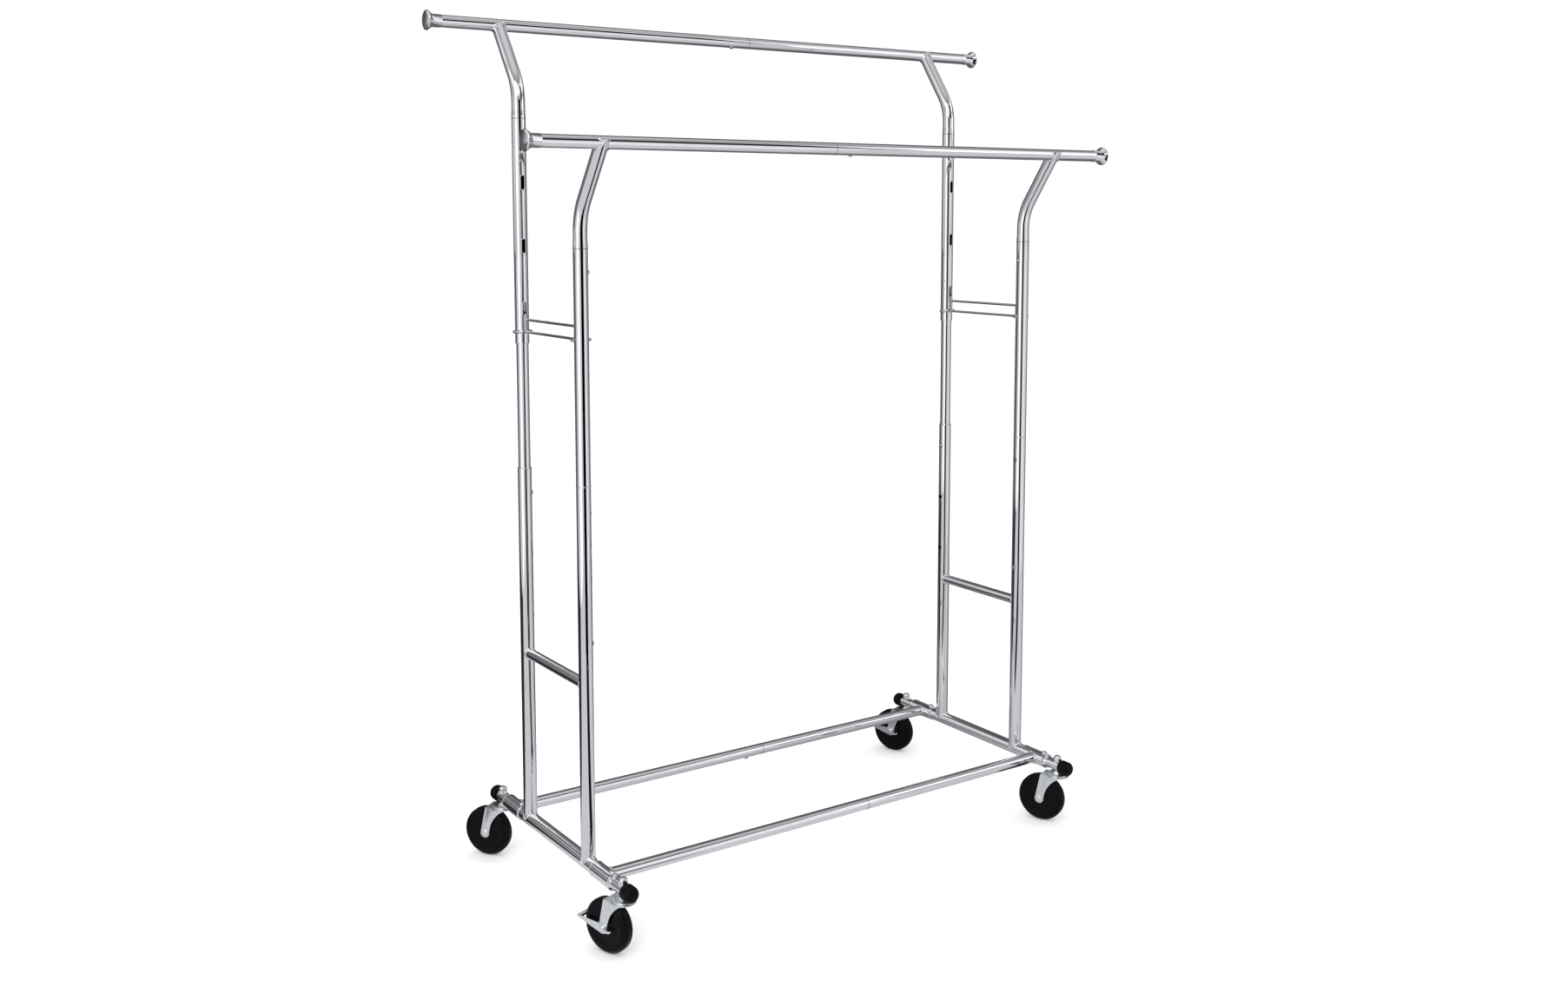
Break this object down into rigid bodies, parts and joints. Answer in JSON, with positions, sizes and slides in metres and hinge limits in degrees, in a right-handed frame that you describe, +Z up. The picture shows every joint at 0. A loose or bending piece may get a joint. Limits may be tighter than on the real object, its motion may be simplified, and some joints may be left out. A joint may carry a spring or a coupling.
{
  "type": "rolling clothes rack",
  "caption": "Rolling garment rack: paired height-adjustable chrome hanging rails on telescoping posts, a wheeled tube base and wire braces between the posts",
  "frame": {"origin": "on the floor, under the middle of the frame, at the mount floor_stand", "axes": "X along the hanging rails, +X to the right seen from the front; Y is the depth, with the lower rail at the front, -Y; Z up"},
  "size_m": [1.29, 0.6043, 1.6],
  "materials": {
    "chrome": "bright chrome plated steel tube",
    "bright_steel": "nickel plated wire and buttons",
    "zinc_plate": "bright zinc plated stampings and fasteners",
    "black_rubber": "moulded rubber, satin",
    "black_tread": "hard black moulded wheel, smooth"
  },
  "bodies": {
    "base": {"end_tube_left": "chrome", "end_tube_right": "chrome", "crossbar_left": "chrome", "crossbar_right": "chrome", "lower_post_front_left": "chrome", "lower_post_front_right": "chrome", "lower_post_rear_left": "chrome", "lower_post_rear_right": "chrome", "bottom_rail_front_left": "chrome", "bottom_rail_front_right": "chrome", "bottom_rail_rear_left": "chrome", "bottom_rail_rear_right": "chrome", "rail_sleeves": "chrome", "end_caps": "black_rubber", "sleeve_screws": "zinc_plate", "caster_nuts": "zinc_plate", "caster_stems": "zinc_plate"},
    "front_hanger": {"inner_tube_front_left": "chrome", "upper_post_front_left": "chrome", "neck_front_left": "chrome", "hanging_rail_front_left": "chrome", "inner_tube_front_right": "chrome", "upper_post_front_right": "chrome", "neck_front_right": "chrome", "hanging_rail_front_right": "chrome", "rail_end_discs_front": "chrome"},
    "rear_hanger": {"inner_tube_rear_left": "chrome", "upper_post_rear_left": "chrome", "neck_rear_left": "chrome", "hanging_rail_rear_left": "chrome", "inner_tube_rear_right": "chrome", "upper_post_rear_right": "chrome", "neck_rear_right": "chrome", "hanging_rail_rear_right": "chrome", "rail_end_discs_rear": "chrome"},
    "brace_left": {"brace_left": "bright_steel"},
    "brace_right": {"brace_right": "bright_steel"},
    "height_button_front_left": {"height_button_front_left": "bright_steel"},
    "height_button_front_right": {"height_button_front_right": "bright_steel"},
    "height_button_rear_left": {"height_button_rear_left": "bright_steel"},
    "height_button_rear_right": {"height_button_rear_right": "bright_steel"},
    "neck_button_front_left": {"neck_button_front_left": "bright_steel"},
    "neck_button_front_right": {"neck_button_front_right": "bright_steel"},
    "neck_button_rear_left": {"neck_button_rear_left": "bright_steel"},
    "neck_button_rear_right": {"neck_button_rear_right": "bright_steel"},
    "rail_button_front": {"rail_button_front": "bright_steel"},
    "bottom_button_front": {"bottom_button_front": "bright_steel"},
    "rail_button_rear": {"rail_button_rear": "bright_steel"},
    "bottom_button_rear": {"bottom_button_rear": "bright_steel"},
    "caster_front_left": {"caster_fork_front_left": "zinc_plate"},
    "wheel_front_left": {"wheel_front_left": "black_tread"},
    "brake_front_left": {"brake_lever_front_left": "zinc_plate"},
    "caster_front_right": {"caster_fork_front_right": "zinc_plate"},
    "wheel_front_right": {"wheel_front_right": "black_tread"},
    "caster_rear_left": {"caster_fork_rear_left": "zinc_plate"},
    "wheel_rear_left": {"wheel_rear_left": "black_tread"},
    "caster_rear_right": {"caster_fork_rear_right": "zinc_plate"},
    "wheel_rear_right": {"wheel_rear_right": "black_tread"},
    "brake_rear_right": {"brake_lever_rear_right": "zinc_plate"}
  },
  "joints": [
    {"name": "front_rail_slide", "type": "slide", "parent": "base", "child": "front_hanger", "axis": [0, 0, 1], "range_m": [0, 0.227], "deforming": ["height_button_front_left", "height_button_front_right"]},
    {"name": "rear_rail_slide", "type": "slide", "parent": "base", "child": "rear_hanger", "axis": [0, 0, 1], "range_m": [-0.227, 0], "deforming": ["height_button_rear_left", "height_button_rear_right"]},
    {"name": "brace_left_lift", "type": "slide", "parent": "rear_hanger", "child": "brace_left", "axis": [0, 0, 1], "range_m": [0, 0.015]},
    {"name": "brace_right_lift", "type": "slide", "parent": "rear_hanger", "child": "brace_right", "axis": [0, 0, 1], "range_m": [0, 0.015]},
    {"name": "height_button_front_left_push", "type": "slide", "parent": "front_hanger", "child": "height_button_front_left", "axis": [-1, 0, 0], "range_m": [0, 0.0036], "stiffness_N_per_m": 600, "springref_m": -0.0015},
    {"name": "height_button_front_right_push", "type": "slide", "parent": "front_hanger", "child": "height_button_front_right", "axis": [1, 0, 0], "range_m": [0, 0.0036], "stiffness_N_per_m": 600, "springref_m": -0.0015},
    {"name": "height_button_rear_left_push", "type": "slide", "parent": "rear_hanger", "child": "height_button_rear_left", "axis": [-1, 0, 0], "range_m": [0, 0.0036], "stiffness_N_per_m": 600, "springref_m": -0.0015},
    {"name": "height_button_rear_right_push", "type": "slide", "parent": "rear_hanger", "child": "height_button_rear_right", "axis": [1, 0, 0], "range_m": [0, 0.0036], "stiffness_N_per_m": 600, "springref_m": -0.0015},
    {"name": "neck_button_front_left_push", "type": "slide", "parent": "front_hanger", "child": "neck_button_front_left", "axis": [-1, 0, 0], "range_m": [0, 0.0036], "stiffness_N_per_m": 600, "springref_m": -0.0015},
    {"name": "neck_button_front_right_push", "type": "slide", "parent": "front_hanger", "child": "neck_button_front_right", "axis": [1, 0, 0], "range_m": [0, 0.0036], "stiffness_N_per_m": 600, "springref_m": -0.0015},
    {"name": "neck_button_rear_left_push", "type": "slide", "parent": "rear_hanger", "child": "neck_button_rear_left", "axis": [-1, 0, 0], "range_m": [0, 0.0036], "stiffness_N_per_m": 600, "springref_m": -0.0015},
    {"name": "neck_button_rear_right_push", "type": "slide", "parent": "rear_hanger", "child": "neck_button_rear_right", "axis": [1, 0, 0], "range_m": [0, 0.0036], "stiffness_N_per_m": 600, "springref_m": -0.0015},
    {"name": "rail_button_front_push", "type": "slide", "parent": "front_hanger", "child": "rail_button_front", "axis": [0, -0.4226, 0.9063], "range_m": [0, 0.0036], "stiffness_N_per_m": 600, "springref_m": -0.0015},
    {"name": "bottom_button_front_push", "type": "slide", "parent": "base", "child": "bottom_button_front", "axis": [0, -0.4226, 0.9063], "range_m": [0, 0.0036], "stiffness_N_per_m": 600, "springref_m": -0.0015},
    {"name": "rail_button_rear_push", "type": "slide", "parent": "rear_hanger", "child": "rail_button_rear", "axis": [0, 0.4226, 0.9063], "range_m": [0, 0.0036], "stiffness_N_per_m": 600, "springref_m": -0.0015},
    {"name": "bottom_button_rear_push", "type": "slide", "parent": "base", "child": "bottom_button_rear", "axis": [0, 0.4226, 0.9063], "range_m": [0, 0.0036], "stiffness_N_per_m": 600, "springref_m": -0.0015},
    {"name": "caster_swivel_front_left", "type": "hinge", "parent": "base", "child": "caster_front_left", "pos_m": [-0.505, -0.24, 0.1], "axis": [0, 0, 1], "continuous": true},
    {"name": "wheel_spin_front_left", "type": "hinge", "parent": "caster_front_left", "child": "wheel_front_left", "pos_m": [-0.51594, -0.20993, 0.0475], "axis": [-0.9397, -0.342, 0], "continuous": true},
    {"name": "brake_front_left_press", "type": "hinge", "parent": "caster_front_left", "child": "brake_front_left", "pos_m": [-0.51594, -0.20993, 0.0475], "axis": [-0.9397, -0.342, 0], "range_deg": [0, 20]},
    {"name": "caster_swivel_front_right", "type": "hinge", "parent": "base", "child": "caster_front_right", "pos_m": [0.505, -0.24, 0.1], "axis": [0, 0, 1], "continuous": true},
    {"name": "wheel_spin_front_right", "type": "hinge", "parent": "caster_front_right", "child": "wheel_front_right", "pos_m": [0.49198, -0.21077, 0.0475], "axis": [-0.9135, -0.4067, 0], "continuous": true},
    {"name": "caster_swivel_rear_left", "type": "hinge", "parent": "base", "child": "caster_rear_left", "pos_m": [-0.505, 0.24, 0.1], "axis": [0, 0, 1], "continuous": true},
    {"name": "wheel_spin_rear_left", "type": "hinge", "parent": "caster_rear_left", "child": "wheel_rear_left", "pos_m": [-0.52426, 0.26556, 0.0475], "axis": [-0.7986, -0.6018, 0], "continuous": true},
    {"name": "caster_swivel_rear_right", "type": "hinge", "parent": "base", "child": "caster_rear_right", "pos_m": [0.505, 0.24, 0.1], "axis": [0, 0, 1], "continuous": true},
    {"name": "wheel_spin_rear_right", "type": "hinge", "parent": "caster_rear_right", "child": "wheel_rear_right", "pos_m": [0.49301, 0.26967, 0.0475], "axis": [-0.9272, -0.3746, 0], "continuous": true},
    {"name": "brake_rear_right_press", "type": "hinge", "parent": "caster_rear_right", "child": "brake_rear_right", "pos_m": [0.49301, 0.26967, 0.0475], "axis": [-0.9272, -0.3746, 0], "range_deg": [0, 20]}
  ]
}
